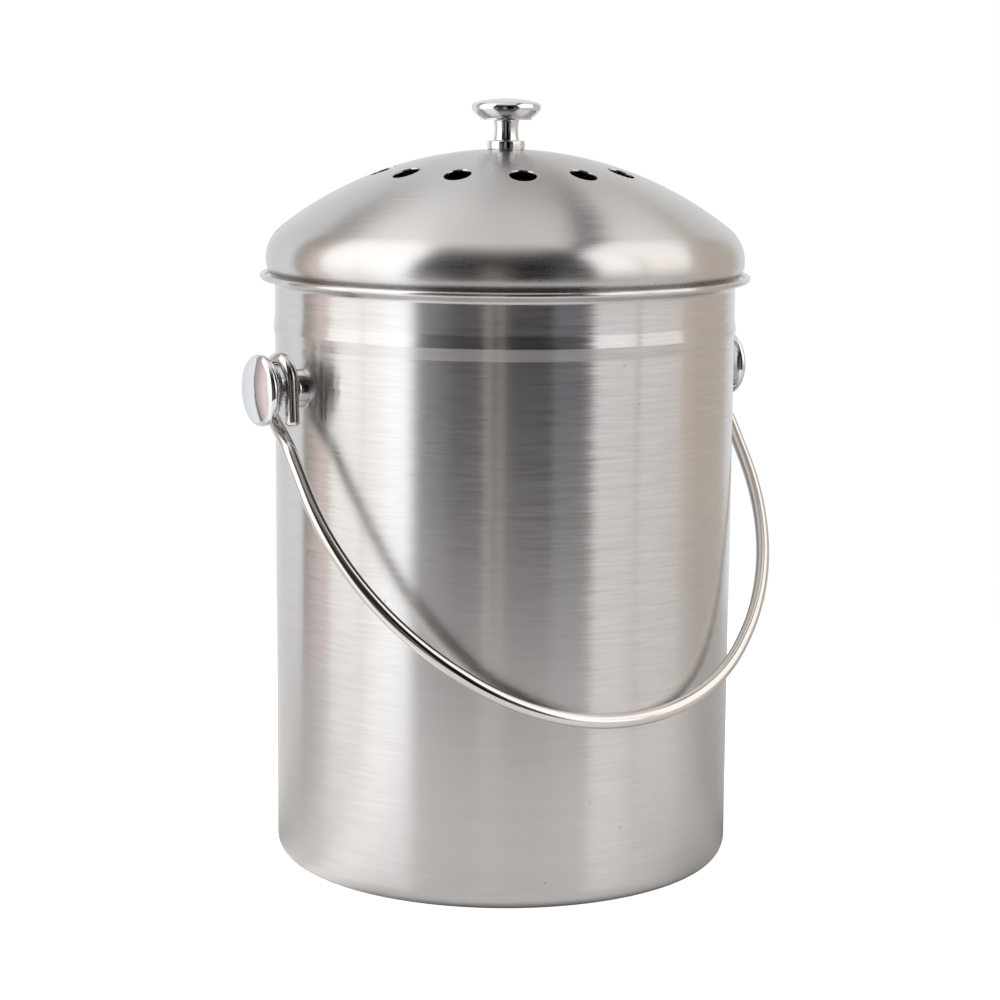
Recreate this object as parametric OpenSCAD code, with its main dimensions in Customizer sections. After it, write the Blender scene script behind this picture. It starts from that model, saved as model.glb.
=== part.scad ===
// Countertop compost caddy: a drawn stainless pail with a rolled lip, a
// vented domed lid that plugs into its mouth, a charcoal filter under the
// dome, and a wire bail that swings on two cast studs.
// Millimetres, +Z up. The origin is the centre of the footprint. The two
// studs lie on the X axis, and the bail rests against the front wall (-Y).

/* [Pail] */
// Outer diameter of the pail's body
body_d = 171.6; // [168:0.2:176]
// Height of the lip's rolled hem above the ground
lip_z = 220; // [205:1:235]
// Sheet thickness of the pail and the lid
sheet = 0.6; // [0.5:0.05:0.7]
// Outside radius of the corner between wall and base
base_fillet = 7; // [5:0.5:9]
// Diameter of the raised panel in the base
panel_d = 132; // [110:2:140]
// Rise of the base panel above the standing ring
panel_rise = 2; // [1:0.25:3]
// Width of the pressed bead round the neck
bead_w = 8.8; // [6:0.2:10]
// Height of the bead
bead_h = 0.6; // [0.3:0.1:0.8]
// Distance from the lip down to the middle of the bead
bead_drop = 18.8; // [17:0.1:19.5]
// How far the lip stands out past the wall
lip_out = 5.7; // [5.4:0.1:6.2]
// Diameter of the lip's rolled hem
hem_d = 2.2; // [2:0.1:2.4]

/* [Lid] */
// Spherical radius of the dome
crown_r = 135.5; // [130:0.5:150]
// Radius of the dome's shoulder
shoulder_r = 15.3; // [13:0.1:18]
// Radius of the tuck under the shoulder
tuck_r = 9; // [8:0.5:11]
// Number of vent holes
vents = 12; // [8:1:14]
// Diameter of each vent hole
vent_d = 10; // [7:0.5:11]
// Radius of the ring of vent holes
vent_ring_r = 45.4; // [42:0.2:50]
// Depth of the skirt below the lid's lowest edge
skirt_depth = 14.6; // [12:0.1:16]

/* [Knob and studs] */
// Diameter of the cast head
head_d = 25.8; // [24.8:0.1:26.5]
// Diameter of the flat under the head
head_flat_d = 19.2; // [18:0.2:20]
// Length of the casting from its seat to its crown
casting_l = 18.9; // [18.5:0.1:20]
// Diameter of the collar at the seat
collar_d = 14; // [13:0.2:16]
// Narrowest diameter of the neck
neck_d = 8.8; // [8.4:0.1:8.8]
// Distance from the lip down to the studs' axis
stud_drop = 37.7; // [36:0.1:42]
// Nominal diameter of the fixing screws
screw_d = 3.5; // [3:0.5:3.5]

/* [Bail] */
// Diameter of the bail's wire
wire_d = 5; // [4.5:0.1:5]
// Inside bend radius of the bow at the grip, on the wire's centre line
bow_r = 84.4; // [80:0.2:86]
// Bend radius of each shoulder, on the wire's centre line
bail_shoulder_r = 114; // [100:1:116]
// Half the width of the hook that hangs on each stud
hook_half = 7.3; // [7.2:0.05:7.6]

/* [Filter] */
// Thickness of the charcoal filter pad
pad_t = 9; // [6:0.5:10]
// Wall of the plastic filter holder
holder_wall = 1.5; // [1.2:0.1:1.6]
// Number of spokes across the holder's grille
spokes = 8; // [6:1:10]
// Width of each ring-shaped slot in the holder's grille
slot_w = 3.8; // [3:0.1:3.8]

/* [Hidden] */
$fn = 96;

steel = [0.77, 0.76, 0.74];
bright_steel = [0.83, 0.81, 0.78];
cast_chrome = [0.86, 0.87, 0.88];
zinc = [0.68, 0.69, 0.70];
black_plastic = [0.07, 0.07, 0.07];
charcoal = [0.03, 0.03, 0.03];
rubber_grey = [0.16, 0.16, 0.16];

// Pail
body_r = body_d / 2;
bore_r = body_r - sheet;
bead_z = lip_z - bead_drop;
flare_r = 1.6;              // outside radius where the wall turns into the lip
flare_up = 28;              // rise of the lip's dished flange, in degrees
flare_z = lip_z - 3.7;      // height at which the wall starts to turn
hem_r = hem_d / 2;
hem_x = body_r + lip_out - hem_r;

// Studs
stud_z = lip_z - stud_drop;
seat_gap = 0.02;            // so that the saddle and the wall stay two solids
tap_r = screw_d / 2 + 0.05;
clear_r = screw_d / 2 + 0.2;
seal_t = 1.2;
washer_t = 1;
lock_t = 0.9;

// Lid
lid_r = body_r + 3.41;      // widest radius of the dome
widest_z = lip_z + 6.2;     // height of the widest point
lid_low = lip_z - 1.35;     // underside of the lid's return flange
crown_cz = widest_z - sqrt(pow(crown_r - shoulder_r, 2) - pow(lid_r - shoulder_r, 2));
crown_end = acos((lid_r - shoulder_r) / (crown_r - shoulder_r));
seat_r = 8.9;               // flat on the crown that the knob stands on
seat_z = crown_cz + sqrt(crown_r * crown_r - seat_r * seat_r);
tuck_a = 24;                // how far the side leans in below the widest point
low_bend = 0.9;
tuck_x = lid_r - tuck_r;
tuck_end = [tuck_x + tuck_r * cos(tuck_a), widest_z - tuck_r * sin(tuck_a)];
low_z = lid_low + low_bend;
low_x = tuck_end[0] - (tuck_end[1] - (low_z - low_bend * sin(tuck_a))) * tan(tuck_a) - low_bend * cos(tuck_a);
skirt_r = bore_r - 2.4;     // outside of the skirt that enters the mouth
skirt_low = lid_low - skirt_depth;
vent_turn = 6.5;            // turn of the ring of vents from the studs' axis

// Filter holder
holder_r = skirt_r - sheet - 0.4;
holder_low = skirt_low - 1.5;
holder_plate = 1.6;
pad_z = holder_low + holder_plate + 0.2;

// Bail, as bends of a straight wire. Each corner is [distance from the
// middle, distance to the front of the studs' axis, height above it].
wire_r = wire_d / 2;
hook_top = 10.8;
bail_half = [
    [92.5, hook_half, -12.3],
    [93.3, hook_half, hook_top],
    [94.1, -hook_half, hook_top],
    [94.4, -hook_half, -8.6],
    [96, 11.4, -20.1],
    [93.9, 51.9, -69.3]
];
bail_tip = [0, 109.5, -139.15];
bail_bends = [7.2, 7.2, 6, 14, bail_shoulder_r];

// ---------------------------------------------------------------- helpers

// Points along an arc of radius r about (cx, cy), from angle a0 to a1
function arc(cx, cy, r, a0, a1, n) =
    [for (i = [0 : n]) [cx + r * cos(a0 + (a1 - a0) * i / n), cy + r * sin(a0 + (a1 - a0) * i / n)]];

function reversed(v) = [for (i = [len(v) - 1 : -1 : 0]) v[i]];
function unit(v) = v / norm(v);
// Any unit vector square to w
function across(w) = unit(cross(w, abs(w[2]) < 0.9 ? [0, 0, 1] : [1, 0, 0]));

// Half the inside angle at corner p of a bent wire
function half_angle(a, p, b) = acos(unit(a - p) * unit(b - p)) / 2;
function tangent(a, p, b, r) = r / tan(half_angle(a, p, b));

// Stations [point, direction] round one bend, about every step degrees
function bend_stations(a, p, b, r, step) =
    let (
        u = unit(a - p), v = unit(b - p), h = half_angle(a, p, b), t = tangent(a, p, b, r),
        c = p + unit(u + v) * r / sin(h),
        e1 = unit(p + u * t - c),
        k = unit(cross(e1, unit(p + v * t - c))),
        e2 = cross(k, e1),
        turn = 180 - 2 * h,
        n = max(1, ceil(turn / step))
    )
    [for (i = [0 : n]) let (w = turn * i / n)
        [c + r * (e1 * cos(w) + e2 * sin(w)), e2 * cos(w) - e1 * sin(w)]];

// Stations along a whole bent wire: its two ends, and every bend between
function stations(path, bends) = concat(
    [[path[0], unit(path[1] - path[0])]],
    [for (i = [1 : len(path) - 2])
        for (s = bend_stations(path[i - 1], path[i], path[i + 1], bends[i - 1], bends[i - 1] > 20 ? 3.2 : 12)) s],
    [[path[len(path) - 1], unit(path[len(path) - 1] - path[len(path) - 2])]]
);

// A round wire bent at each inner point of path to the radius in bends. Its
// ends are chamfered by chamfer.
module bent_wire(path, bends, r, chamfer) {
    sides = 16;
    raw = stations(path, bends);
    last = len(raw) - 1;
    line = concat(
        [raw[0], [raw[0][0] + raw[0][1] * chamfer, raw[0][1]]],
        [for (i = [1 : last - 1]) raw[i]],
        [[raw[last][0] - raw[last][1] * chamfer, raw[last][1]], raw[last]]
    );
    n = len(line);
    // each side vector is the one before it, turned square to the new direction
    side = [for (i = 0, v = across(line[0][1]); i < n;
                 i = i + 1, v = i < n ? unit(v - line[i][1] * (v * line[i][1])) : v) v];
    points = [for (i = [0 : n - 1])
        let (q = i == 0 || i == n - 1 ? r - chamfer : r, w = cross(line[i][1], side[i]))
        for (j = [0 : sides - 1])
            line[i][0] + q * (side[i] * cos(j * 360 / sides) + w * sin(j * 360 / sides))];
    polyhedron(points = points, faces = concat(
        [[for (j = [0 : sides - 1]) j]],
        [for (i = [0 : n - 2]) for (j = [0 : sides - 1]) let (k = (j + 1) % sides)
            [i * sides + j, (i + 1) * sides + j, (i + 1) * sides + k, i * sides + k]],
        [[for (j = [sides - 1 : -1 : 0]) (n - 1) * sides + j]]
    ), convexity = 6);
}

// Turns a piece built along +Z so that it stands on the wall at +X or -X
module on_side(side) {
    translate([0, 0, stud_z]) rotate([0, 90 * side, 0]) children();
}

// The cast knob, which also serves as bail stud: collar, waisted neck and
// crowned head, from the seat at z = 0 to the crown. below is the extra
// length of collar under the seat.
module casting(below) {
    collar_r = collar_d / 2;
    neck_r = neck_d / 2;
    head_r = head_d / 2;
    flat_r = head_flat_d / 2;
    collar_h = 3.36;
    under = casting_l - 7.77;           // underside of the head
    land = 0.55;                        // upright land round the flat under the head
    crown = 45;                         // radius of the head's crown
    rim = 1.9;                          // radius between crown and bevel
    rim_x = head_r - rim;
    rim_a = acos(rim_x / (crown - rim));
    crown_c = casting_l - crown;
    rim_z = crown_c + (crown - rim) * sin(rim_a);
    waist = (collar_h + under) / 2;
    // the neck's side is one shallow arc, 0.45 mm deep over its height
    dip = 0.45;
    half = (under - collar_h) / 2;
    neck_arc = (half * half + dip * dip) / (2 * dip);
    neck_a = asin(half / neck_arc);
    bevel = 10;
    // the bevel is an arc from the land to the rim
    p0 = [flat_r, under + land];
    p1 = [rim_x + rim * cos(-34), rim_z + rim * sin(-34)];
    mid = (p0 + p1) / 2;
    chord = norm(p1 - p0);
    nrm = [p1[1] - p0[1], p0[0] - p1[0]] / chord;
    c = mid - nrm * sqrt(bevel * bevel - chord * chord / 4);
    b0 = atan2(p0[1] - c[1], p0[0] - c[0]);
    b1 = atan2(p1[1] - c[1], p1[0] - c[0]);
    difference() {
        rotate_extrude()
            polygon(concat(
                [[0, -below], [collar_r - 0.25, -below], [collar_r - 0.05, -below + 0.2],
                 [collar_r, collar_h / 2], [collar_r - 0.05, collar_h - 0.3]],
                arc(collar_r - 0.4, collar_h - 0.35, 0.35, 10, 85, 4),
                [for (q = reversed(arc(neck_r + neck_arc, waist, neck_arc, 180 - neck_a, 180 + neck_a, 10))) q],
                arc(flat_r - 0.2, under + 0.2, 0.2, 270, 350, 2),
                [p0],
                arc(c[0], c[1], bevel, b0 + 3, b1, 6),
                arc(rim_x, rim_z, rim, -26, rim_a - 5, 9),
                arc(0, crown_c, crown, rim_a, 90, 14)
            ));
        translate([0, 0, -below - 1]) cylinder(r = tap_r, h = below + 1 + 12);
    }
}

// Pan-head screw whose head sits under z = 0 and whose shank points up
module pan_screw(shank) {
    difference() {
        union() {
            rotate_extrude()
                polygon(concat(
                    [[0, 0], [4, 0], [4, -1.1]],
                    arc(2.4, -1.0, 1.6, -4, -78, 8),
                    [[0, -2.65]]
                ));
            cylinder(r = screw_d / 2, h = shank - 0.6);
            translate([0, 0, shank - 0.6]) cylinder(r1 = screw_d / 2, r2 = screw_d / 2 - 0.6, h = 0.6);
        }
        for (a = [0, 90])
            rotate([0, 0, a]) translate([-2.2, -0.5, -3.2]) cube([4.4, 1, 2.1]);
    }
}

// Flat washer from z = 0 downwards
module flat_washer(outer_r, t) {
    translate([0, 0, -t]) difference() {
        cylinder(r = outer_r, h = t);
        translate([0, 0, -1]) cylinder(r = screw_d / 2 + 0.15, h = t + 2);
    }
}

// Split spring washer from z = 0 downwards
module lock_washer() {
    translate([0, 0, -lock_t]) difference() {
        cylinder(r = 3.7, h = lock_t);
        translate([0, 0, -1]) cylinder(r = screw_d / 2 + 0.1, h = lock_t + 2);
        rotate([0, 0, 40]) translate([1.5, -0.3, -1]) cube([4, 0.6, lock_t + 2]);
    }
}

// Rubber seal whose outer face follows the inside of the wall. Its flat
// inner face is at seal_t inside the wall.
module stud_seal(side) {
    color(rubber_grey)
    intersection() {
        on_side(side) translate([0, 0, bore_r - seal_t]) difference() {
            cylinder(r = 6.5, h = seal_t + 1);
            translate([0, 0, -1]) cylinder(r = screw_d / 2 + 0.1, h = seal_t + 4);
        }
        cylinder(r = bore_r - seat_gap, h = lip_z, $fn = 256);
    }
}

module bail_stud(side) {
    color(cast_chrome)
    difference() {
        on_side(side) translate([0, 0, body_r + 0.3]) casting(2);
        cylinder(r = body_r + seat_gap, h = lip_z, $fn = 256);
    }
}

module stud_washer(side) {
    color(zinc) on_side(side) translate([0, 0, bore_r - seal_t]) flat_washer(6, washer_t);
}

module stud_lock_washer(side) {
    color(zinc) on_side(side) translate([0, 0, bore_r - seal_t - washer_t]) lock_washer();
}

module stud_screw(side) {
    color(zinc) on_side(side) translate([0, 0, bore_r - seal_t - washer_t - lock_t]) pan_screw(14);
}

// ------------------------------------------------------------------- nodes

// One drawn sheet: base panel, standing ring, wall, bead, flare and the
// rolled hem. The stud screws pass through a hole on each side.
module pail_shell() {
    ring_in = panel_d / 2 + 4;
    fc = body_r - base_fillet;
    tip = bead_h - 0.04;
    outer = concat(
        [[0, panel_rise], [panel_d / 2, panel_rise], [ring_in, 0]],
        arc(fc, base_fillet, base_fillet, -90, 0, 12),
        [[body_r, bead_z - bead_w / 2], [body_r + tip, bead_z - 0.35],
         [body_r + bead_h, bead_z], [body_r + tip, bead_z + 0.35],
         [body_r, bead_z + bead_w / 2]],
        arc(body_r + flare_r, flare_z, flare_r, 180, 90 + flare_up, 10),
        [[hem_x - 0.3, flare_z + flare_r * cos(flare_up) + (hem_x - 0.3 - body_r - flare_r + flare_r * sin(flare_up)) * tan(flare_up)]]
    );
    ri = flare_r + sheet;
    inner = concat(
        [[0, panel_rise + sheet], [panel_d / 2 + 0.2, panel_rise + sheet], [ring_in + 0.2, sheet]],
        arc(fc, base_fillet, base_fillet - sheet, -90, 0, 12),
        [[bore_r, bead_z - bead_w / 2], [bore_r + tip, bead_z - 0.35],
         [bore_r + bead_h, bead_z], [bore_r + tip, bead_z + 0.35],
         [bore_r, bead_z + bead_w / 2]],
        arc(body_r + flare_r, flare_z, ri, 180, 90 + flare_up, 10),
        [[hem_x - 0.6, flare_z + ri * cos(flare_up) + (hem_x - 0.6 - body_r - flare_r + ri * sin(flare_up)) * tan(flare_up)]]
    );
    color(steel)
    difference() {
        rotate_extrude($fn = 180) union() {
            polygon(concat(outer, reversed(inner)));
            translate([hem_x, lip_z]) circle(r = hem_r, $fn = 32);
        }
        translate([0, 0, stud_z]) rotate([0, 90, 0])
            cylinder(r = clear_r, h = 2 * body_r + 10, center = true);
    }
}

module left_bail_stud() { bail_stud(-1); }
module right_bail_stud() { bail_stud(1); }
module left_stud_seal() { stud_seal(-1); }
module right_stud_seal() { stud_seal(1); }
module left_stud_washer() { stud_washer(-1); }
module right_stud_washer() { stud_washer(1); }
module left_stud_lock_washer() { stud_lock_washer(-1); }
module right_stud_lock_washer() { stud_lock_washer(1); }
module left_stud_screw() { stud_screw(-1); }
module right_stud_screw() { stud_screw(1); }

// Bail: one wire, hooked over the neck of each stud, that hangs to the front
module bail_wire() {
    left = [for (p = bail_half) [-p[0], -p[1], p[2] + stud_z]];
    right = [for (p = reversed(bail_half)) [p[0], -p[1], p[2] + stud_z]];
    tip = [[0, -bail_tip[1], bail_tip[2] + stud_z]];
    color(bright_steel)
        bent_wire(concat(left, tip, right), concat(bail_bends, [bow_r], reversed(bail_bends)), wire_r, 0.5);
}

// Lid: spherical crown, rolled shoulder and a return flange below, pierced
// by a ring of vents and by the hole for the knob's screw
module lid_dome() {
    function side(t) = concat(
        [[0, seat_z - t], [seat_r, seat_z - t]],
        arc(0, crown_cz, crown_r - t, acos((seat_r + 0.6) / crown_r), crown_end, 22),
        arc(lid_r - shoulder_r, widest_z, shoulder_r - t, crown_end - 3, 0, 16),
        arc(tuck_x, widest_z, tuck_r - t, -4, -tuck_a, 5),
        arc(low_x, low_z, low_bend - t, -tuck_a, -90, 6),
        [[skirt_r + 0.1, lid_low + t]]
    );
    color(steel)
    difference() {
        rotate_extrude($fn = 180) polygon(concat(side(0), reversed(side(sheet))));
        translate([0, 0, seat_z - 5]) cylinder(r = clear_r, h = 10);
        for (i = [0 : vents - 1])
            rotate([0, 0, vent_turn + i * 360 / vents])
                translate([vent_ring_r, 0, lip_z + 20]) cylinder(r = vent_d / 2, h = 40);
    }
}

// Skirt: plugs into the pail's mouth. Its top flange is welded on the dome's
// return flange, and its bore holds the filter holder.
module lid_skirt() {
    top = lid_low + 2 * sheet;
    color(steel)
    rotate_extrude($fn = 180) polygon(concat(
        [[skirt_r - sheet, skirt_low + 0.2], [skirt_r - 0.45, skirt_low], [skirt_r - 0.15, skirt_low], [skirt_r, skirt_low + 0.2]],
        [[skirt_r, lid_low + sheet]],
        [[low_x - 0.25, lid_low + sheet], [low_x - 0.25, top]],
        arc(skirt_r + 0.3, top - 0.9, 0.9, 90, 180, 6)
    ));
}

module lid_knob() {
    color(cast_chrome) translate([0, 0, seat_z]) casting(0);
}

module knob_washer() {
    color(zinc) translate([0, 0, seat_z - sheet]) flat_washer(6, washer_t);
}

module knob_lock_washer() {
    color(zinc) translate([0, 0, seat_z - sheet - washer_t]) lock_washer();
}

module knob_screw() {
    color(zinc) translate([0, 0, seat_z - sheet - washer_t - lock_t]) pan_screw(13);
}

// Plastic cup with a slotted floor. The rim round its foot stops against the
// skirt, and a low bead on its wall clicks into the skirt's bore.
module filter_holder() {
    wall_in = holder_r - holder_wall;
    top = lid_low - 2.7;
    bead = 0.3;
    color(black_plastic)
    difference() {
        rotate_extrude($fn = 180) polygon([
            [0, holder_low], [skirt_r - 0.5, holder_low], [skirt_r - 0.1, holder_low + 0.4],
            [skirt_r - 0.1, holder_low + 1.1], [skirt_r - 0.3, holder_low + 1.4],
            [holder_r, holder_low + 1.4], [holder_r, top - 5], [holder_r + bead, top - 4.4],
            [holder_r + bead, top - 3.8], [holder_r, top - 3.2], [holder_r, top - 0.4],
            [holder_r - 0.4, top], [wall_in + 0.3, top], [wall_in, top - 0.3],
            [wall_in, holder_low + holder_plate], [0, holder_low + holder_plate]
        ]);
        difference() {
            for (k = [0 : 8])
                translate([0, 0, holder_low - 1]) difference() {
                    cylinder(r = 14 + k * 7 + slot_w, h = holder_plate + 2);
                    translate([0, 0, -1]) cylinder(r = 14 + k * 7, h = holder_plate + 4);
                }
            for (i = [0 : spokes - 1])
                rotate([0, 0, i * 360 / spokes]) translate([0, -2, holder_low - 2])
                    cube([body_r, 4, holder_plate + 4]);
        }
    }
}

// Replaceable pad of charcoal felt that lies in the holder
module charcoal_filter() {
    color(charcoal)
    translate([0, 0, pad_z]) rotate_extrude($fn = 120) polygon(concat(
        [[0, 0]], arc(holder_r - holder_wall - 1.9, 1.2, 1.2, -90, 0, 4),
        arc(holder_r - holder_wall - 1.9, pad_t - 1.2, 1.2, 0, 90, 4), [[0, pad_t]]
    ));
}

pail_shell();
left_bail_stud();
right_bail_stud();
left_stud_seal();
right_stud_seal();
left_stud_washer();
right_stud_washer();
left_stud_lock_washer();
right_stud_lock_washer();
left_stud_screw();
right_stud_screw();
bail_wire();
lid_dome();
lid_skirt();
lid_knob();
knob_washer();
knob_lock_washer();
knob_screw();
filter_holder();
charcoal_filter();
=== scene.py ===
import math

import bmesh
import bpy
import numpy as np
from mathutils import Matrix, Vector


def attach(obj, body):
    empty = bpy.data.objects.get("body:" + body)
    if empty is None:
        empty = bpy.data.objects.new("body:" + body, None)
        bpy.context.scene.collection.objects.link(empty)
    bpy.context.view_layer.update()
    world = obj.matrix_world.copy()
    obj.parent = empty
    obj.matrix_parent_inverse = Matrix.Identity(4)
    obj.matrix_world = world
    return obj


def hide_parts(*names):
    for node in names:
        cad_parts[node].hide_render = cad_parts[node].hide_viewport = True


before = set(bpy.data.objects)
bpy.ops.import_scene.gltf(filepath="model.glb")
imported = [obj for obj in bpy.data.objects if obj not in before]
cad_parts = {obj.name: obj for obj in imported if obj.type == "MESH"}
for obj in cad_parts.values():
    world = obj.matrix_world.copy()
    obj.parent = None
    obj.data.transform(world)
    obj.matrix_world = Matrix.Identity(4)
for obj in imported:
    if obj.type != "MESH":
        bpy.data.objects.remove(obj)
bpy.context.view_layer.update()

MM = 0.001
TAU = 2 * math.pi


def rad(d):
    return math.radians(d)


# ------------------------------------------------------------ 1. dimensions
# The same millimetre values as the CAD source.
BODY_R, SHEET = 85.8, 0.6
BORE_R = BODY_R - SHEET
LIP_Z = 220.0
BEAD_Z, BEAD_H, BEAD_W = LIP_Z - 18.8, 0.6, 8.8
STUD_Z = LIP_Z - 37.7
HEM_R = 1.1
HEM_X = BODY_R + 5.66 - HEM_R
FLARE_R, FLARE_UP, FLARE_Z = 1.6, 28.0, LIP_Z - 3.7

CROWN_R, SHOULDER_R, TUCK_R = 135.5, 15.3, 9.0
LID_R, WIDEST_Z = BODY_R + 3.41, LIP_Z + 6.2
LID_LOW = LIP_Z - 1.35
CROWN_CZ = WIDEST_Z - math.sqrt((CROWN_R - SHOULDER_R) ** 2 - (LID_R - SHOULDER_R) ** 2)
CROWN_END = math.degrees(math.acos((LID_R - SHOULDER_R) / (CROWN_R - SHOULDER_R)))
SEAT_R = 8.9
SEAT_Z = CROWN_CZ + math.sqrt(CROWN_R ** 2 - SEAT_R ** 2)
TUCK_A, LOW_BEND = 24.0, 0.9
TUCK_X = LID_R - TUCK_R
TUCK_END = (TUCK_X + TUCK_R * math.cos(rad(TUCK_A)), WIDEST_Z - TUCK_R * math.sin(rad(TUCK_A)))
LOW_Z = LID_LOW + LOW_BEND
LOW_X = (TUCK_END[0] - (TUCK_END[1] - (LOW_Z - LOW_BEND * math.sin(rad(TUCK_A)))) * math.tan(rad(TUCK_A))
         - LOW_BEND * math.cos(rad(TUCK_A)))
SKIRT_R = BORE_R - 2.4
SKIRT_LOW = LID_LOW - 14.6
VENTS, VENT_R, VENT_RING, VENT_TURN = 12, 5.0, 45.4, 6.5

HEAD_R, HEAD_FLAT_R, CASTING_L = 12.9, 9.6, 18.9
COLLAR_R, COLLAR_H, NECK_R = 7.0, 3.36, 4.4
TAP_R = 1.8
WIRE_R = 2.5
HOLDER_R = SKIRT_R - SHEET - 0.4
PAD_R = HOLDER_R - 1.5 - 1.9 + 1.2
PAD_Z = SKIRT_LOW - 1.5 + 1.6 + 0.2
PAD_T = 9.0


# ------------------------------------------------------- 2. mesh construction
def arc(cx, cy, r, a0, a1, n):
    """n + 1 points on an arc, in degrees."""
    return [(cx + r * math.cos(rad(a0 + (a1 - a0) * i / n)), cy + r * math.sin(rad(a0 + (a1 - a0) * i / n)))
            for i in range(n + 1)]


def rounded(path, closed=False):
    """A polyline whose corners (x, y, radius, steps) are turned into arcs; radius 0 leaves a corner as it is."""
    out = []
    n = len(path)
    for i, p in enumerate(path):
        x, y = p[0], p[1]
        r = p[2] if len(p) > 2 else 0
        steps = p[3] if len(p) > 3 else 5
        if r <= 0 or (not closed and i in (0, n - 1)):
            out.append((x, y))
            continue
        a = np.array(path[(i - 1) % n][:2], float)
        b = np.array(path[(i + 1) % n][:2], float)
        q = np.array((x, y), float)
        u = (a - q) / np.linalg.norm(a - q)
        v = (b - q) / np.linalg.norm(b - q)
        half = math.acos(max(-1, min(1, float(u @ v)))) / 2
        if half > rad(89.5):
            out.append((x, y))
            continue
        t = r / math.tan(half)
        c = q + (u + v) / np.linalg.norm(u + v) * (r / math.sin(half))
        p0, p1 = q + u * t, q + v * t
        a0 = math.atan2(*(p0 - c)[::-1])
        a1 = math.atan2(*(p1 - c)[::-1])
        d = (a1 - a0 + math.pi) % TAU - math.pi
        out += [(c[0] + r * math.cos(a0 + d * k / steps), c[1] + r * math.sin(a0 + d * k / steps))
                for k in range(steps + 1)]
    return out


def split_line(a, b, step):
    """Points from a to b, both included, no further apart than step."""
    n = max(1, math.ceil(math.dist(a, b) / step))
    return [(a[0] + (b[0] - a[0]) * i / n, a[1] + (b[1] - a[1]) * i / n) for i in range(n + 1)]


def tidy(points, least=1e-4):
    out = [points[0]]
    for p in points[1:]:
        if math.dist(p, out[-1]) > least:
            out.append(p)
    return out


class Sheetwork:
    """Collects patches of quads given as grids of points in mm, then welds them into one mesh."""

    def __init__(self):
        self.verts, self.faces, self.uvs = [], [], []
        self.count = 0

    def grid(self, points, uv):
        """points: rows x columns x 3 in mm; uv: rows x columns x 2 in metres."""
        p = np.asarray(points, float)
        m, n = p.shape[:2]
        index = self.count + np.arange(m * n).reshape(m, n)
        self.verts.append(p.reshape(-1, 3) * MM)
        self.count += m * n
        quads = np.stack([index[:-1, :-1], index[:-1, 1:], index[1:, 1:], index[1:, :-1]], -1).reshape(-1, 4)
        w = np.asarray(uv, float)
        tex = np.stack([w[:-1, :-1], w[:-1, 1:], w[1:, 1:], w[1:, :-1]], 2).reshape(-1, 4, 2)
        self.faces.append(quads)
        self.uvs.append(tex)

    def build(self, name, weld=2e-6, sharp=None):
        verts = np.concatenate(self.verts)
        faces = np.concatenate(self.faces)
        tex = np.concatenate(self.uvs)
        # weld equal points, and drop corners that fall together at a pole
        key = np.round(verts / weld).astype(np.int64)
        order = np.lexsort(key.T)
        sk = key[order]
        new = np.ones(len(sk), bool)
        new[1:] = (sk[1:] != sk[:-1]).any(1)
        group = np.cumsum(new) - 1
        remap = np.empty(len(verts), np.int64)
        remap[order] = group
        kept = verts[order[new]]
        polys, corners = [], []
        for f, t in zip(remap[faces], tex):
            poly, uvs = [], []
            for k in range(4):
                if f[k] != f[(k + 1) % 4]:
                    poly.append(int(f[k]))
                    uvs.append(t[k])
            if len(poly) >= 3 and len(set(poly)) == len(poly):
                polys.append(poly)
                corners += uvs
        mesh = bpy.data.meshes.new(name)
        mesh.from_pydata(kept.tolist(), [], polys)
        layer = mesh.uv_layers.new(name="turn")
        layer.uv.foreach_set("vector", np.asarray(corners, np.float32).ravel())
        bm = bmesh.new()
        bm.from_mesh(mesh)
        bmesh.ops.remove_doubles(bm, verts=bm.verts, dist=weld * 1.5)
        bmesh.ops.dissolve_degenerate(bm, edges=bm.edges, dist=1e-7)
        bmesh.ops.recalc_face_normals(bm, faces=bm.faces)
        bm.to_mesh(mesh)
        bm.free()
        mesh.shade_smooth()
        if sharp:
            mesh.set_sharp_from_angle(angle=rad(sharp))
        mesh.validate()
        ob = bpy.data.objects.new(name, mesh)
        bpy.context.scene.collection.objects.link(ob)
        return ob


def turned(points, columns, start=0.0):
    """A full turn of a profile [(r, z)] as a grid of points and their (around, along) coordinates."""
    pts = np.array(points, float)
    th = np.linspace(0, TAU, columns + 1) + start
    along = np.concatenate([[0], np.cumsum(np.linalg.norm(np.diff(pts, axis=0), axis=1))])
    grid = np.stack([pts[:, 0][:, None] * np.cos(th), pts[:, 0][:, None] * np.sin(th),
                     np.repeat(pts[:, 1][:, None], columns + 1, 1)], -1)
    uv = np.stack([np.repeat((th / TAU)[None], len(pts), 0) * 0.5,
                   np.repeat(along[:, None], columns + 1, 1) * MM], -1)
    return grid, uv


def lathe(name, points, columns=192, sharp=None, place=None):
    work = Sheetwork()
    grid, uv = turned(tidy(points), columns)
    if place is not None:
        grid = place(grid)
    work.grid(grid, uv)
    return work.build(name, sharp=sharp)


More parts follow.
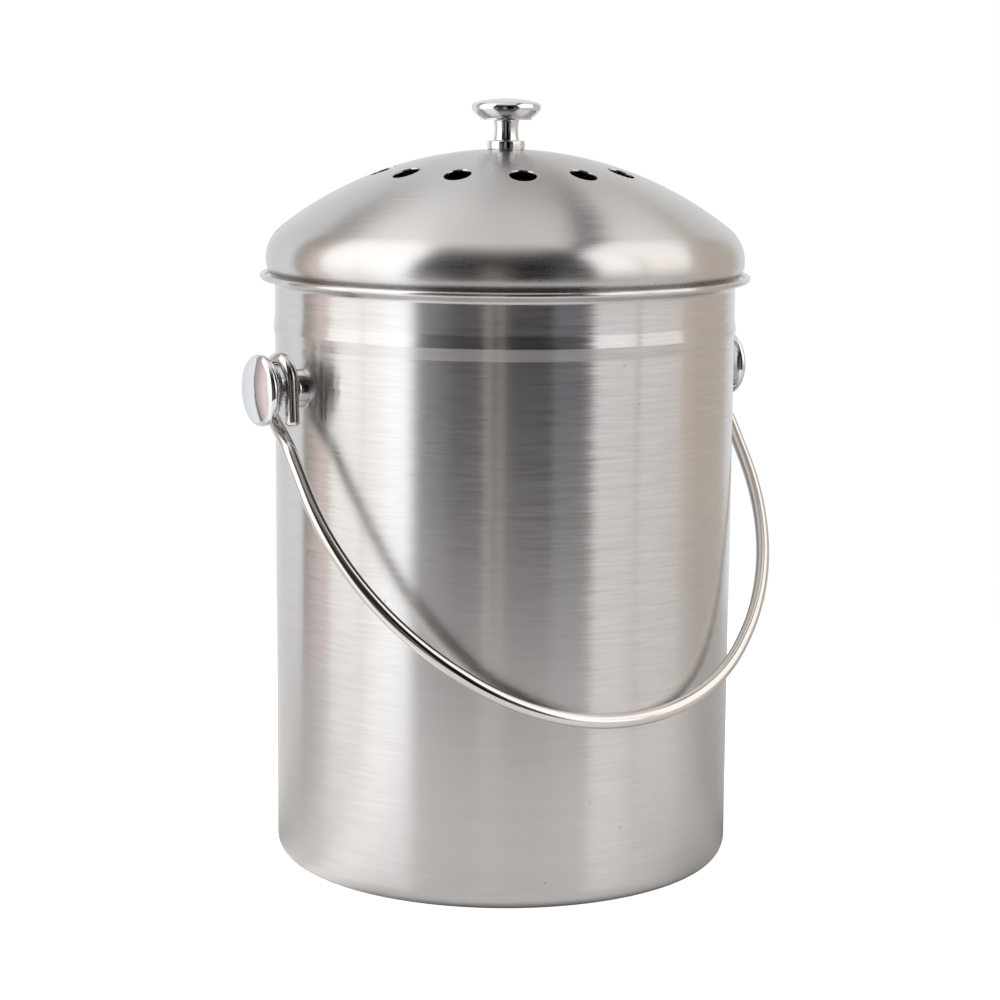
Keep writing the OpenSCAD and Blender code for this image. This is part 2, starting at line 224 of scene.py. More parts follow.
def ring_patch(rows, cols, hole, layers, ease=1.0):
    """An O-shaped patch between a block's edge and a hole. rows and cols are the block's coordinates, hole(angle) a
    point of the hole's rim, all in the patch's own plane. Gives layers + 1 closed rings of points."""
    a, b = list(cols), list(rows)
    edge = [(x, b[0]) for x in a[:-1]] + [(a[-1], y) for y in b[:-1]]
    edge += [(x, b[-1]) for x in a[:0:-1]] + [(a[0], y) for y in b[:0:-1]]
    edge = np.array(edge + [edge[0]], float)
    mid = np.array([(a[0] + a[-1]) / 2, (b[0] + b[-1]) / 2])
    size = np.array([(a[-1] - a[0]) / 2, (b[-1] - b[0]) / 2])
    angles = np.unwrap(np.arctan2((edge[:, 1] - mid[1]) / size[1], (edge[:, 0] - mid[0]) / size[0]))
    inner = np.array([hole(t) for t in angles])
    s = (np.arange(layers + 1) / layers) ** ease
    return edge[None] * (1 - s)[:, None, None] + inner[None] * s[:, None, None], angles


# ------------------------------------------------------------ 3. the pail
def pail_profiles():
    fc = BODY_R - 7
    ring_in = 66 + 4
    crest = BEAD_H
    b0, b1 = BEAD_Z - BEAD_W / 2, BEAD_Z + BEAD_W / 2
    e = rad(90 + FLARE_UP)
    out_end = (BODY_R + FLARE_R + FLARE_R * math.cos(e), FLARE_Z + FLARE_R * math.sin(e))
    ri = FLARE_R + SHEET
    in_end = (BODY_R + FLARE_R + ri * math.cos(e), FLARE_Z + ri * math.sin(e))
    slope = (math.cos(rad(FLARE_UP)), math.sin(rad(FLARE_UP)))

    def meets_hem(p):
        dx, dz = HEM_X - p[0], LIP_Z - p[1]
        along = dx * slope[0] + dz * slope[1]
        off = dx * slope[1] - dz * slope[0]
        s = along - math.sqrt(HEM_R ** 2 - off ** 2)
        return p[0] + slope[0] * s, p[1] + slope[1] * s

    low, high = meets_hem(out_end), meets_hem(in_end)
    a_low = math.degrees(math.atan2(low[1] - LIP_Z, low[0] - HEM_X)) % 360
    a_high = math.degrees(math.atan2(high[1] - LIP_Z, high[0] - HEM_X)) % 360
    base_out = rounded([(0, 2), (66, 2, 3.0, 5), (ring_in, 0, 2.0, 5), (fc, 0)])
    base_in = rounded([(0, 2 + SHEET), (66.2, 2 + SHEET, 2.4, 5), (ring_in + 0.2, SHEET, 2.4, 5), (fc, SHEET)])
    corner_out = arc(fc, 7, 7, -90, 0, 20)
    corner_in = arc(fc, 7, 7 - SHEET, -90, 0, 20)
    bead_out = rounded([(BODY_R, b0 - 1), (BODY_R, b0, 2.5, 3), (BODY_R + crest, BEAD_Z, 1.2, 5),
                        (BODY_R, b1, 2.5, 3), (BODY_R, b1 + 1)])
    bead_in = rounded([(BORE_R, b0 - 1), (BORE_R, b0, 2.5, 3), (BORE_R + crest, BEAD_Z, 1.2, 5),
                       (BORE_R, b1, 2.5, 3), (BORE_R, b1 + 1)])
    flare_out = arc(BODY_R + FLARE_R, FLARE_Z, FLARE_R, 180, 90 + FLARE_UP, 12)
    flare_in = arc(BODY_R + FLARE_R, FLARE_Z, ri, 180, 90 + FLARE_UP, 12)
    turn = (a_low - 360, a_high)
    hem = arc(HEM_X, LIP_Z, HEM_R, turn[0], turn[1], 40)
    return (base_out, corner_out, bead_out, flare_out, hem, base_in, corner_in, bead_in, flare_in)


def make_pail():
    (base_out, corner_out, bead_out, flare_out, hem, base_in, corner_in, bead_in, flare_in) = pail_profiles()
    columns = 288
    z0, z1 = STUD_Z - 7, STUD_Z + 7
    rows = np.linspace(z0, z1, 11)
    span = 5                                   # columns each side of a stud
    work = Sheetwork()

    def wall(radius, points_low, points_high):
        """The wall at one radius: all rows below and above the studs, and between them the blocks."""
        low = tidy(points_low + split_line((radius, 7), (radius, z0), 8))
        high = tidy(split_line((radius, z1), points_high[0], 4) + points_high)
        g, uv = turned(low, columns)
        work.grid(g, uv)
        start = float(uv[-1, 0, 1])
        g, uv2 = turned(high, columns)
        uv2 = uv2.copy()
        uv2[..., 1] += start + (z1 - z0) * MM
        work.grid(g, uv2)
        step = TAU / columns
        for side in (0, columns // 2):
            # plain cells between one stud's block and the next
            first, last = side + span, side + columns // 2 - span
            th = np.arange(first, last + 1) * step
            g = np.stack(np.broadcast_arrays(radius * np.cos(th)[None], radius * np.sin(th)[None], rows[:, None]), -1)
            uv = np.stack(np.broadcast_arrays((th / TAU * 0.5)[None], (start + (rows - z0) * MM)[:, None]), -1)
            work.grid(g, uv)
            # the block with the screw's hole
            cols = np.arange(side - span, side + span + 1) * step
            def rim(t, r=1.95):
                return side * step + r * math.cos(t) / radius, STUD_Z + r * math.sin(t)
            rings, _ = ring_patch(rows, cols, rim, 6)
            th, z = rings[..., 0], rings[..., 1]
            g = np.stack([radius * np.cos(th), radius * np.sin(th), z], -1)
            uv = np.stack([th / TAU * 0.5, start + (z - z0) * MM], -1)
            work.grid(g, uv)
        return rim

    wall(BODY_R, base_out + corner_out, bead_out + flare_out + hem)
    wall(BORE_R, base_in + corner_in, bead_in + flare_in + [hem[-1]])
    # the holes' walls, from the outside to the inside
    step = TAU / columns
    for side in (0, columns // 2):
        cols = np.arange(side - span, side + span + 1) * step
        def rim_at(radius):
            def rim(t):
                return side * step + 1.95 * math.cos(t) / radius, STUD_Z + 1.95 * math.sin(t)
            rings, _ = ring_patch(rows, cols, rim, 1)
            th, z = rings[-1, :, 0], rings[-1, :, 1]
            return np.stack([radius * np.cos(th), radius * np.sin(th), z], -1)
        g = np.stack([rim_at(BODY_R), rim_at(BORE_R)])
        uv = np.zeros(g.shape[:2] + (2,))
        uv[..., 0] = np.linspace(0, 0.01, g.shape[1])[None]
        uv[..., 1] = np.array([0, 0.0006])[:, None]
        work.grid(g, uv)
    ob = work.build("pail_body", sharp=50)
    return ob


# ------------------------------------------------------------- 4. the lid
def make_dome():
    columns = 288
    step = TAU / columns
    turn = rad(VENT_TURN)
    ra, rb = 36.0, 56.0
    rr = np.linspace(ra, rb, 17)
    work = Sheetwork()

    def sphere_z(r, t):
        return CROWN_CZ + math.sqrt((CROWN_R - t) ** 2 - r * r)

    def side(t):
        a_in = math.degrees(math.acos(ra / (CROWN_R - t)))
        a_out = math.degrees(math.acos(rb / (CROWN_R - t)))
        a_seat = math.degrees(math.acos((SEAT_R + 0.25) / CROWN_R))
        inner = [(1.95, SEAT_Z - t), (6.0, SEAT_Z - t), (SEAT_R - 0.2, SEAT_Z - t)]
        inner += arc(0, CROWN_CZ, CROWN_R - t, a_seat, a_in, 14)
        outer = arc(0, CROWN_CZ, CROWN_R - t, a_out, CROWN_END, 16)
        outer += arc(LID_R - SHOULDER_R, WIDEST_Z, SHOULDER_R - t, CROWN_END, 0, 30)
        outer += arc(TUCK_X, WIDEST_Z, TUCK_R - t, 0, -TUCK_A, 12)
        outer += arc(LOW_X, LOW_Z, LOW_BEND - t, -TUCK_A, -90, 10)
        outer += [(SKIRT_R + 1.2, LID_LOW + t), (SKIRT_R + 0.1, LID_LOW + t)]
        return tidy(inner), tidy(outer)

    for t in (0.0, SHEET):
        inner, outer = side(t)
        g, uv = turned(inner, columns, turn)
        work.grid(g, uv)
        at = float(uv[-1, 0, 1])
        # the vents' ring: one block of 24 columns for each vent
        along = at + (CROWN_R - t) * (math.asin(rb / (CROWN_R - t)) - math.asin(ra / (CROWN_R - t))) * MM
        edge_r = VENT_R + (0.14 if t == 0 else 0.05)
        for k in range(VENTS):
            cols = turn + (np.arange(25) - 12 + 24 * k) * step
            mid = turn + 24 * k * step

            def plan(r, th):
                return r * math.cos(th), r * math.sin(th)

            def rim(q, radius):
                """A vent's rim in (angle, radius) coordinates. The hole is drilled straight down."""
                x = VENT_RING + radius * math.sin(q)
                y = radius * math.cos(q)
                return mid + math.atan2(y, x), math.hypot(x, y)

            rings, angles = ring_patch(rr, cols, lambda q: rim(q, edge_r), 9, 0.85)
            th, r = rings[..., 0], rings[..., 1]
            z = CROWN_CZ + np.sqrt((CROWN_R - t) ** 2 - r * r)
            g = np.stack([r * np.cos(th), r * np.sin(th), z], -1)
            v = at + (CROWN_R - t) * (np.arcsin(r / (CROWN_R - t)) - math.asin(ra / (CROWN_R - t))) * MM
            uv = np.stack([th / TAU * 0.5, v], -1)
            work.grid(g, uv)
            if t == 0:
                # the punched edge: a small roll at the top, the cut, and a trace of burr below
                ringset = []
                for radius, drop, inside in ((VENT_R + 0.14, 0, 0), (VENT_R + 0.07, 0.015, 0), (VENT_R + 0.02, 0.055, 0),
                                             (VENT_R, 0.13, 0), (VENT_R, -0.05, 1), (VENT_R + 0.05, 0, 1)):
                    pts = []
                    for q in angles:
                        a, rho = rim(q, radius)
                        z0 = sphere_z(rho, SHEET if inside else 0)
                        pts.append((rho * math.cos(a), rho * math.sin(a), z0 - drop))
                    ringset.append(pts)
                g = np.array(ringset)
                uv = np.zeros(g.shape[:2] + (2,))
                uv[..., 0] = np.linspace(0, 0.03, g.shape[1])[None]
                uv[..., 1] = (np.arange(len(ringset)) * 0.00012)[:, None]
                work.grid(g, uv)
        g, uv = turned(outer, columns, turn)
        uv = uv.copy()
        uv[..., 1] += along
        work.grid(g, uv)
    # the sheet's edges: at the knob's hole and at the return flange
    for pts in ([(1.95, SEAT_Z), (1.95, SEAT_Z - SHEET)],
                [(SKIRT_R + 0.1, LID_LOW), (SKIRT_R + 0.1, LID_LOW + SHEET)]):
        g, uv = turned(pts, columns, turn)
        work.grid(g, uv)
    return work.build("lid_cover", sharp=40)


def make_skirt():
    top = LID_LOW + 2 * SHEET
    lo = SKIRT_LOW
    pts = rounded([
        (SKIRT_R - SHEET, lo, 0.16, 3), (SKIRT_R, lo, 0.22, 4), (SKIRT_R, LID_LOW + SHEET, 0.0),
        (LOW_X - 0.25, LID_LOW + SHEET), (LOW_X - 0.25, top, 0.1, 2),
        (SKIRT_R - SHEET, top, 0.9, 7)], closed=True)
    pts.append(pts[0])
    return lathe("lid_plug_ring", pts, 240, sharp=40)


# --------------------------------------------------- 5. knob and bail studs
def casting_profile(below):
    under = CASTING_L - 7.77
    crown, rim, land = 45.0, 1.9, 0.55
    rim_x = HEAD_R - rim
    rim_a = math.degrees(math.acos(rim_x / (crown - rim)))
    crown_c = CASTING_L - 0.0005 - crown
    rim_z = crown_c + (crown - rim) * math.sin(rad(rim_a))
    waist = (COLLAR_H + under) / 2
    dip = 0.45
    half = (under - COLLAR_H) / 2
    neck_arc = (half * half + dip * dip) / (2 * dip)
    neck_a = math.degrees(math.asin(half / neck_arc))
    bevel = 10.0
    p0 = np.array([HEAD_FLAT_R, under + land])
    p1 = np.array([rim_x + rim * math.cos(rad(-34)), rim_z + rim * math.sin(rad(-34))])
    mid = (p0 + p1) / 2
    chord = np.linalg.norm(p1 - p0)
    nrm = np.array([p1[1] - p0[1], p0[0] - p1[0]]) / chord
    c = mid - nrm * math.sqrt(bevel * bevel - chord * chord / 4)
    b0 = math.degrees(math.atan2(p0[1] - c[1], p0[0] - c[0]))
    b1 = math.degrees(math.atan2(p1[1] - c[1], p1[0] - c[0]))
    # collar: barely barrelled side, softened top edge, small fillets to the neck
    pts = rounded([(TAP_R, -below), (COLLAR_R - 0.05, -below, 0.42, 6), (COLLAR_R, COLLAR_H * 0.5, 20, 4),
                   (COLLAR_R - 0.05, COLLAR_H, 0.38, 7), (NECK_R + dip + 0.62, COLLAR_H)])
    pts += arc(NECK_R + dip + 0.42, COLLAR_H + 0.5, 0.5, 270, 200, 6)
    neck = arc(NECK_R + neck_arc, waist, neck_arc, 180 + neck_a * 0.82, 180 - neck_a * 0.82, 24)
    pts += neck
    pts += arc(NECK_R + dip + 0.42, under - 0.5, 0.5, 160, 90, 6)
    pts += [(HEAD_FLAT_R - 1.5, under)]
    pts += arc(HEAD_FLAT_R - 0.16, under + 0.16, 0.16, 270, 355, 5)
    pts += [(HEAD_FLAT_R, under + land - 0.12)]
    pts += [(HEAD_FLAT_R + 0.03, under + land + 0.01), (HEAD_FLAT_R + 0.12, under + land + 0.08)]
    pts += arc(c[0], c[1], bevel, b0 + 1.6, b1, 20)
    pts += arc(rim_x, rim_z, rim, -32, rim_a - 1, 24)
    pts += arc(0, crown_c, crown, rim_a, 90, 44)
    hole = [(0, 12.0), (TAP_R - 0.3, 12.0), (TAP_R, 11.8), (TAP_R, 0.3 - below)]
    return tidy(pts), hole


def make_casting(name, place, below=0.0, saddle=None):
    pts, hole = casting_profile(below)
    work = Sheetwork()
    columns = 160
    g, uv = turned(pts, columns)
    if saddle:
        g = saddle(g)
    work.grid(place(g), uv)
    h, uvh = turned(hole, 64)
    # the tapped hole's mouth is stitched to the foot with the same number of columns
    h, uvh = turned([(TAP_R, -below), (TAP_R, 11.8), (TAP_R - 0.3, 12.0), (0, 12.0)], columns)
    if saddle:
        h = saddle(h)
    work.grid(place(h), uvh)
    return work.build(name, sharp=48)


def knob_place(g):
    g = g.copy()
    g[..., 2] += SEAT_Z
    return g


def stud_place(side):
    def place(g):
        out = np.empty_like(g)
        out[..., 0] = side * (BODY_R + 0.3 + g[..., 2])
        out[..., 1] = g[..., 1]
        out[..., 2] = STUD_Z - g[..., 0]
        return out
    return place


def stud_saddle(g):
    """The foot of a stud follows the pail's round wall."""
    g = g.copy()
    reach = BODY_R + 0.02
    foot = np.sqrt(np.maximum(reach ** 2 - g[..., 1] ** 2, 0)) - (BODY_R + 0.3)
    low = g[..., 2] < 0.6
    t = np.clip((0.6 - g[..., 2]) / 0.6, 0, 1)
    g[..., 2] = np.where(low, 0.6 * (1 - t) + foot * t, g[..., 2])
    return g


# ------------------------------------------------------------- 6. the bail
def unit(v):
    return v / np.linalg.norm(v)


def bail_stations():
    half = [(92.5, 7.3, -12.3), (93.3, 7.3, 10.8), (94.1, -7.3, 10.8), (94.4, -7.3, -8.6), (96, 11.4, -20.1),
            (93.9, 51.9, -69.3)]
    tip = (0, -109.5, -139.15 + STUD_Z)
    bends = [7.2, 7.2, 6, 14, 114]
    left = [(-p[0], -p[1], p[2] + STUD_Z) for p in half]
    right = [(p[0], -p[1], p[2] + STUD_Z) for p in half[::-1]]
    path = [np.array(p, float) for p in left + [tip] + right]
    radii = bends + [84.4] + bends[::-1]
    stations = [(path[0], unit(path[1] - path[0]))]
    for i in range(1, len(path) - 1):
        a, p, b, r = path[i - 1], path[i], path[i + 1], radii[i - 1]
        u, v = unit(a - p), unit(b - p)
        h = math.acos(float(u @ v)) / 2
        t = r / math.tan(h)
        c = p + unit(u + v) * r / math.sin(h)
        e1 = unit(p + u * t - c)
        k = unit(np.cross(e1, unit(p + v * t - c)))
        e2 = np.cross(k, e1)
        turn = math.pi - 2 * h
        n = max(2, math.ceil(turn / rad(1.0 if r > 20 else 4.0)))
        for j in range(n + 1):
            w = turn * j / n
            stations.append((c + r * (e1 * math.cos(w) + e2 * math.sin(w)), e2 * math.cos(w) - e1 * math.sin(w)))
    stations.append((path[-1], unit(path[-1] - path[-2])))
    # straight runs get points of their own, so that no face is long and thin
    out = [stations[0]]
    for p, d in stations[1:]:
        q = out[-1][0]
        gap = np.linalg.norm(p - q)
        if gap < 1e-3:
            continue
        if gap > 3.0:
            n = math.ceil(gap / 2.0)
            for j in range(1, n):
                out.append((q + (p - q) * j / n, unit(p - q)))
        out.append((p, d))
    return out


def make_bail():
    line = bail_stations()
    sides = 40
    ring = np.arange(sides + 1) * TAU / sides
    d0 = line[0][1]
    side = unit(np.cross(d0, np.array([0, 0, 1.0]) if abs(d0[2]) < 0.9 else np.array([0, 1.0, 0])))
    rings, vs, run = [], [], 0.0
    last = None

    def add(p, d, r, s):
        w = np.cross(d, s)
        rings.append(p[None] + r * (np.cos(ring)[:, None] * s[None] + np.sin(ring)[:, None] * w[None]))

    n = len(line)
    for i, (p, d) in enumerate(line):
        side = unit(side - d * (side @ d))
        if last is not None:
            run += np.linalg.norm(p - last)
        last = p
        if i == 0:
            # cut end with a small chamfer
            for r, s in ((0.0, 0), (1.2, 0), (WIRE_R - 0.55, 0), (WIRE_R - 0.5, 0.02), (WIRE_R - 0.12, 0.4),
                         (WIRE_R, 0.6)):
                add(p + d * s, d, r, side)
                vs.append(run + s - (WIRE_R - r))
        elif i == n - 1:
            for r, s in ((WIRE_R, 0.6), (WIRE_R - 0.12, 0.4), (WIRE_R - 0.5, 0.02), (WIRE_R - 0.55, 0), (1.2, 0), (0.0, 0)):
                add(p - d * s, d, r, side)
                vs.append(run - s + (WIRE_R - r))
        else:
            add(p, d, WIRE_R, side)
            vs.append(run)
    g = np.array(rings)
    uv = np.stack(np.broadcast_arrays((ring * WIRE_R * MM)[None], (np.array(vs) * MM)[:, None]), -1)
    work = Sheetwork()
    work.grid(g, uv)
    return work.build("bail_handle", sharp=50)


# ------------------------------------------------------- 7. charcoal pad
def wave(x, y, seed):
    """Smooth, repeatable unevenness from a few fixed waves."""
    rng = np.random.default_rng(seed)
    out = np.zeros_like(x)
    for k in range(14):
        a, f, p = rng.uniform(0, TAU), rng.uniform(0.08, 0.62), rng.uniform(0, TAU)
        out += np.sin((x * math.cos(a) + y * math.sin(a)) * f + p) / (1 + 4 * f)
    return out / 4.0


def make_pad():
    rmax = HOLDER_R - 1.5 - 0.7
    top, low = PAD_Z + PAD_T, PAD_Z
    edge = 2.4
    prof = [(0, low)] + [(r, low) for r in np.linspace(3, rmax - edge, 26)]
    prof += arc(rmax - edge, low + edge, edge, -90, 0, 9)[1:]
    prof += arc(rmax - edge, top - edge, edge, 0, 90, 9)
    prof += [(r, top) for r in np.linspace(rmax - edge, 3, 26)][1:] + [(0, top)]
    g, uv = turned(tidy(prof), 240)
    x, y, z = g[..., 0], g[..., 1], g[..., 2]
    r = np.hypot(x, y)
    mid = (top + low) / 2
    k = (z - mid) / (PAD_T / 2)                   # -1 at the bottom, 1 at the top
    rise = wave(x, y, 5) * 0.35 + wave(x * 4, y * 4, 6) * 0.12
    lift = np.where(k > 0, -0.38 + rise, 0.12 + 0.1 * wave(x, y, 9)) * np.abs(k) ** 1.5
    th = np.arctan2(y, x)
    shy = 0.45 + 0.35 * np.sin(3 * th + 0.7) * 0.5 + 0.3 * wave(x * 3, y * 3, 11)
    pull = np.clip((r - (rmax - 6)) / 6, 0, 1) * shy
    scale = np.where(r > 1e-6, (r - pull) / np.maximum(r, 1e-6), 1)
    g = np.stack([x * scale, y * scale, np.clip(z + np.where(k > 0, lift, lift), low, top)], -1)
    # each row's first and last columns are the same points
    g[:, -1] = g[:, 0]
    g[0, :] = (0, 0, g[0, 0, 2])
    g[-1, :] = (0, 0, g[-1, 0, 2])
    work = Sheetwork()
    work.grid(g, uv)
    return work.build("charcoal_felt_pad")


# ---------------------------------------------------------- 8. node helpers
class Graph:
    """Short ways of writing shader nodes. Values are sockets or plain numbers."""

    def __init__(self, tree):
        self.t = tree
        self.n = 0

    def node(self, kind, **props):
        nd = self.t.nodes.new(kind)
        nd.location = (-200 * (self.n % 9), -180 * (self.n // 9))
        self.n += 1
        for k, v in props.items():
            setattr(nd, k, v)
        return nd

    def put(self, socket, value):
        if isinstance(value, bpy.types.NodeSocket):
            self.t.links.new(value, socket)
        else:
            socket.default_value = value

    def math(self, op, a, b=None, c=None, clamp=False):
        nd = self.node("ShaderNodeMath", operation=op, use_clamp=clamp)
        self.put(nd.inputs[0], a)
        if b is not None:
            self.put(nd.inputs[1], b)
        if c is not None:
            self.put(nd.inputs[2], c)
        return nd.outputs[0]

    def add(self, a, b):
        return self.math("ADD", a, b)

    def sub(self, a, b):
        return self.math("SUBTRACT", a, b)

    def mul(self, a, b):
        return self.math("MULTIPLY", a, b)

    def map(self, v, a0, a1, b0=0.0, b1=1.0, kind="SMOOTHSTEP"):
        nd = self.node("ShaderNodeMapRange", interpolation_type=kind, clamp=True)
        self.put(nd.inputs["Value"], v)
        for name, x in (("From Min", a0), ("From Max", a1), ("To Min", b0), ("To Max", b1)):
            self.put(nd.inputs[name], x)
        return nd.outputs["Result"]

    def xyz(self, v):
        nd = self.node("ShaderNodeSeparateXYZ")
        self.put(nd.inputs[0], v)
        return nd.outputs

    def vec(self, x, y, z):
        nd = self.node("ShaderNodeCombineXYZ")
        for s, v in zip(nd.inputs, (x, y, z)):
            self.put(s, v)
        return nd.outputs[0]

    def noise(self, v, scale=1.0, detail=2.0, rough=0.5, dims="3D", distortion=0.0):
        nd = self.node("ShaderNodeTexNoise", noise_dimensions=dims)
        self.put(nd.inputs["Vector"], v)
        nd.inputs["Scale"].default_value = scale
        nd.inputs["Detail"].default_value = detail
        nd.inputs["Roughness"].default_value = rough
        nd.inputs["Distortion"].default_value = distortion
        return nd.outputs["Fac"]

    def voronoi(self, v, scale=1.0, feature="F1"):
        nd = self.node("ShaderNodeTexVoronoi", feature=feature)
        self.put(nd.inputs["Vector"], v)
        nd.inputs["Scale"].default_value = scale
        return nd.outputs["Distance"]

    def mix(self, fac, a, b):
        nd = self.node("ShaderNodeMix", data_type="RGBA")
        self.put(nd.inputs["Factor"], fac)
        self.put(nd.inputs["A"], a)
        self.put(nd.inputs["B"], b)
        return nd.outputs["Result"]

    def bump(self, height, distance, strength=1.0, normal=None):
        nd = self.node("ShaderNodeBump")
        nd.inputs["Strength"].default_value = strength
        nd.inputs["Distance"].default_value = distance
        self.put(nd.inputs["Height"], height)
        if normal is not None:
            self.put(nd.inputs["Normal"], normal)
        return nd.outputs["Normal"]

    def object_coords(self):
        return self.node("ShaderNodeTexCoord").outputs["Object"]

    def uv(self, name="turn"):
        return self.node("ShaderNodeUVMap", uv_map=name).outputs["UV"]


def material(name):
    m = bpy.data.materials.new(name)
    m.use_nodes = True
    m.node_tree.nodes.clear()
    g = Graph(m.node_tree)
    shader = g.node("ShaderNodeBsdfPrincipled")
    out = g.node("ShaderNodeOutputMaterial")
    m.node_tree.links.new(shader.outputs[0], out.inputs["Surface"])
    return m, g, shader


def rgb(r, g, b):
    return (r, g, b, 1.0)


# ------------------------------------------------------------- 9. materials
def brushed_steel(name, tint, rough, aniso, along="v", seed=0.0, grain=1.0, pitch=0.8):
    """Sheet brushed round the axis: lines run along the turn, and the blur goes across them."""
    m, g, sh = material(name)
    ob = g.xyz(g.object_coords())
    if along == "v":
        run = g.xyz(g.uv())[1]
    else:
        run = ob[2]
    # fine lines a few hundredths to a millimetre apart, centimetres long
    def lines(across, length, detail, shift):
        return g.noise(g.vec(g.mul(ob[0], length), g.mul(ob[1], length), g.add(g.mul(run, across * pitch), shift + seed)),
                       1.0, detail, 0.6)
    fine = lines(1600, 56, 3, 0.0)
    mid = lines(900, 66, 2, 7.3)
    wide = lines(170, 14, 2, 3.1)
    long = g.map(lines(1250, 13, 1, 11.0), 0.70, 0.80)
    cloud = g.noise(g.object_coords(), 14.0, 3, 0.55)
    smear = g.noise(g.vec(g.mul(ob[0], 22), g.mul(ob[1], 22), g.mul(run, 9)), 1.0, 4, 0.62)
    # sparse, longer scratches that cross the grain at a low angle
    slant = g.add(g.mul(run, 1100), g.mul(g.add(ob[0], ob[1]), 30))
    scratch = g.noise(g.vec(g.mul(ob[0], 26), g.mul(ob[1], 26), slant), 1.0, 1, 0.5)
    scratch = g.map(scratch, 0.755, 0.80)
    speck = g.map(g.voronoi(g.vec(g.mul(ob[0], 70), g.mul(ob[1], 70), g.mul(run, 70))), 0.05, 0.02)
    # colour
    a, b = tint
    blend = g.math("MULTIPLY_ADD", g.sub(fine, 0.5), 1.8 * grain, 0.5)
    blend = g.math("MULTIPLY_ADD", g.sub(mid, 0.5), 0.7 * grain, blend)
    blend = g.math("MULTIPLY_ADD", long, 0.5, blend)
    blend = g.math("MULTIPLY_ADD", g.sub(cloud, 0.5), 0.5, blend, clamp=True)
    col = g.mix(blend, rgb(*a), rgb(*b))
    col = g.mix(g.mul(speck, 0.35), col, rgb(0.22, 0.2, 0.18))
    g.put(sh.inputs["Base Color"], col)
    sh.inputs["Metallic"].default_value = 1.0
    r = g.math("MULTIPLY_ADD", g.sub(fine, 0.5), 0.08, rough)
    r = g.math("MULTIPLY_ADD", g.sub(wide, 0.5), 0.04, r)
    r = g.math("MULTIPLY_ADD", g.sub(smear, 0.5), 0.05, r)
    r = g.math("MULTIPLY_ADD", scratch, -0.04, r)
    g.put(sh.inputs["Roughness"], r)
    sh.inputs["Anisotropic"].default_value = aniso
    sh.inputs["Anisotropic Rotation"].default_value = 0.25
    tan = g.node("ShaderNodeTangent", direction_type="RADIAL", axis="Z").outputs[0]
    g.put(sh.inputs["Tangent"], tan)
    h = g.math("MULTIPLY_ADD", mid, 0.6, g.mul(fine, 0.4))
    h = g.math("MULTIPLY_ADD", scratch, -0.15, h)
    n1 = g.bump(h, 0.000003 * grain, 0.8)
    n2 = g.bump(cloud, 0.00010, 0.25, n1)
    # each line of the brush leans a little to one side or the other, which frays the edges of what is mirrored
    lean = g.math("MULTIPLY_ADD", g.sub(fine, 0.5), 0.050 * grain, g.mul(g.sub(wide, 0.5), 0.010 * grain))
    lean = g.math("MULTIPLY_ADD", long, 0.035 * grain, lean)
    side = g.node("ShaderNodeVectorMath", operation="SCALE")
    g.put(side.inputs[0], tan)
    g.put(side.inputs["Scale"], lean)
    leant = g.node("ShaderNodeVectorMath", operation="ADD")
    g.put(leant.inputs[0], n2)
    g.put(leant.inputs[1], side.outputs[0])
    n3 = g.node("ShaderNodeVectorMath", operation="NORMALIZE")
    g.put(n3.inputs[0], leant.outputs[0])
    g.put(sh.inputs["Normal"], n3.outputs[0])
    return m


def plated(name, tint, rough, wavy, seed=0.0):
    """Plated zinc casting: near mirror, with a trace of the casting's waviness and hairline scratches."""
    m, g, sh = material(name)
    co = g.object_coords()
    broad = g.noise(co, 190.0 + seed, 2, 0.5)
    soft = g.noise(co, 60.0, 3, 0.5)
    ob = g.xyz(co)
    hair = g.noise(g.vec(g.mul(ob[0], 90), g.mul(ob[1], 1400), g.mul(ob[2], 700)), 1.0, 2, 0.6)
    hair2 = g.noise(g.vec(g.mul(ob[0], 1500), g.mul(ob[1], 160), g.mul(ob[2], 1100)), 1.0, 2, 0.6)
    hair = g.math("MAXIMUM", g.map(hair, 0.66, 0.74), g.map(hair2, 0.68, 0.76))
    a, b = tint
    col = g.mix(soft, rgb(*a), rgb(*b))
    g.put(sh.inputs["Base Color"], col)
    sh.inputs["Metallic"].default_value = 1.0
    r = g.math("MULTIPLY_ADD", hair, 0.10, g.map(soft, 0.3, 0.7, rough, rough + 0.035, "LINEAR"))
    g.put(sh.inputs["Roughness"], r)
    n1 = g.bump(broad, wavy, 0.5)
    n2 = g.bump(hair, 0.0000015, 0.6, n1)
    g.put(sh.inputs["Normal"], n2)
    return m


def drawn_wire(name, tint, rough):
    """Polished wire: faint draw lines along its length, small rubs, a warm nickel tone."""
    m, g, sh = material(name)
    uv = g.xyz(g.uv())
    ob = g.xyz(g.object_coords())
    lines = g.noise(g.vec(g.mul(uv[0], 1500), g.mul(uv[1], 14), 0.0), 1.0, 3, 0.6)
    rub = g.noise(g.vec(g.mul(uv[0], 120), g.mul(uv[1], 60), 4.0), 1.0, 4, 0.65)
    nick = g.map(g.noise(g.vec(g.mul(ob[0], 420), g.mul(ob[1], 420), g.mul(ob[2], 900)), 1.0, 2, 0.5), 0.70, 0.76)
    a, b = tint
    g.put(sh.inputs["Base Color"], g.mix(rub, rgb(*a), rgb(*b)))
    sh.inputs["Metallic"].default_value = 1.0
    r = g.math("MULTIPLY_ADD", g.sub(lines, 0.5), 0.06, g.map(rub, 0.35, 0.7, rough, rough + 0.06, "LINEAR"))
    r = g.math("MULTIPLY_ADD", nick, 0.08, r)
    g.put(sh.inputs["Roughness"], r)
    n1 = g.bump(lines, 0.000005, 0.6)
    n2 = g.bump(rub, 0.00003, 0.25, n1)
    g.put(sh.inputs["Normal"], n2)
    return m


